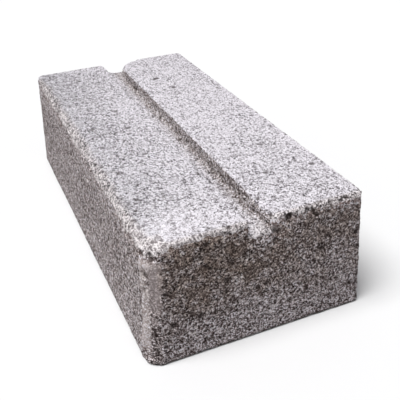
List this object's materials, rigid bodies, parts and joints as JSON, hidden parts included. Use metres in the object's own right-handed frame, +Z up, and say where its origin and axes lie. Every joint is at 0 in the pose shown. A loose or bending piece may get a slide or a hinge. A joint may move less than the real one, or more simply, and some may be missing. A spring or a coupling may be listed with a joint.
{
  "type": "cement sand brick",
  "caption": "Solid cement sand brick, pressed in one piece, with a mortar groove along its top that is open at both ends.",
  "frame": {"origin": "middle of the base", "axes": "+X along the brick's length, towards the end whose corner is rounder; +Y across its width, away from that rounder corner; +Z up, through the grooved top"},
  "size_m": [0.215, 0.104, 0.06],
  "materials": {
    "cement_sand": "coarse open-grained cement and sand, matte, pale grey on top and darker on its sides"
  },
  "bodies": {
    "root": {"brick": "cement_sand"}
  },
  "joints": []
}
